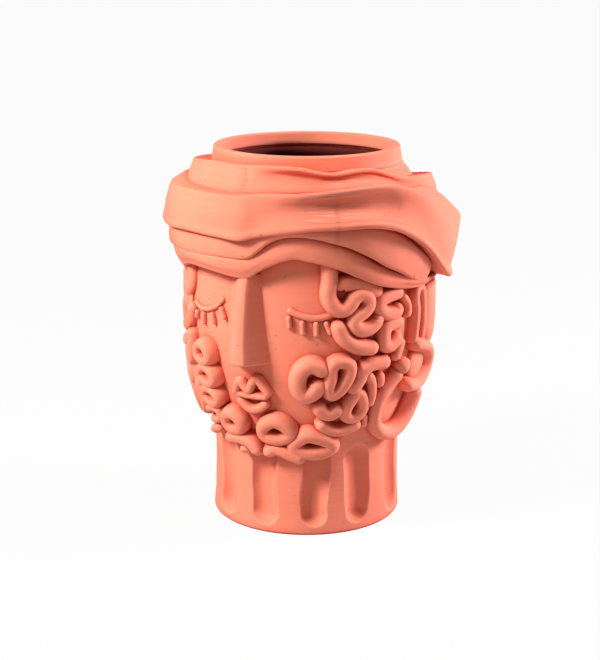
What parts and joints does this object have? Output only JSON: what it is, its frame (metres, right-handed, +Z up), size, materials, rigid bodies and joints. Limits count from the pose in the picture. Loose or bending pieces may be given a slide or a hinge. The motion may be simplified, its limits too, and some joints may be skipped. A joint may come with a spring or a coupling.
{
  "type": "face vase",
  "caption": "Terracotta flower vase like a bearded head, with a folded turban, closed eyes, curled beard coils, hoop ear rings and a fluted neck for a foot.",
  "frame": {"origin": "middle of the flat underside", "axes": "+Z up through the mouth, the face looks along -Y, +X is on the right hand of someone who looks at the face"},
  "size_m": [0.2734, 0.2693, 0.35],
  "materials": {
    "terracotta": "matte unglazed fired clay"
  },
  "bodies": {
    "root": {"cheek_bough": "terracotta", "cheek_cup": "terracotta", "cheek_horn": "terracotta", "cheek_kernel": "terracotta", "cheek_petal": "terracotta", "cheek_rib": "terracotta", "cheek_sweep": "terracotta", "chin_arch": "terracotta", "chin_left_ring": "terracotta", "chin_middle_ring": "terracotta", "chin_right_ring": "terracotta", "chin_tongue": "terracotta", "chin_wave": "terracotta", "column_first": "terracotta", "column_fourth": "terracotta", "column_outer_low": "terracotta", "column_outer_ring": "terracotta", "column_outer_top": "terracotta", "column_second": "terracotta", "column_third": "terracotta", "ear_hoop_left": "terracotta", "ear_hoop_right": "terracotta", "ear_lobe_left": "terracotta", "ear_lobe_right": "terracotta", "ear_rim_left": "terracotta", "ear_rim_right": "terracotta", "eyelashes_left": "terracotta", "eyelashes_right": "terracotta", "eyelid_left": "terracotta", "eyelid_right": "terracotta", "head_shell": "terracotta", "lip_lower": "terracotta", "lip_upper": "terracotta", "nape_locks": "terracotta", "neck_foot": "terracotta", "nose": "terracotta", "rim_collar": "terracotta", "temple_arch_left": "terracotta", "temple_arch_right": "terracotta", "temple_cradle_left": "terracotta", "temple_cradle_right": "terracotta", "temple_hook_left": "terracotta", "temple_hook_right": "terracotta", "temple_leaf_left": "terracotta", "temple_leaf_right": "terracotta", "temple_sickle_left": "terracotta", "temple_stem_left": "terracotta", "temple_strand_left": "terracotta", "temple_strand_right": "terracotta", "turban_brow_left": "terracotta", "turban_brow_right": "terracotta", "turban_crown_left": "terracotta", "turban_crown_right": "terracotta", "turban_fold_back": "terracotta", "turban_fold_left": "terracotta", "turban_fold_right": "terracotta", "turban_leaf": "terracotta", "turban_main_left": "terracotta", "turban_main_right": "terracotta", "turban_tail": "terracotta"}
  },
  "joints": []
}
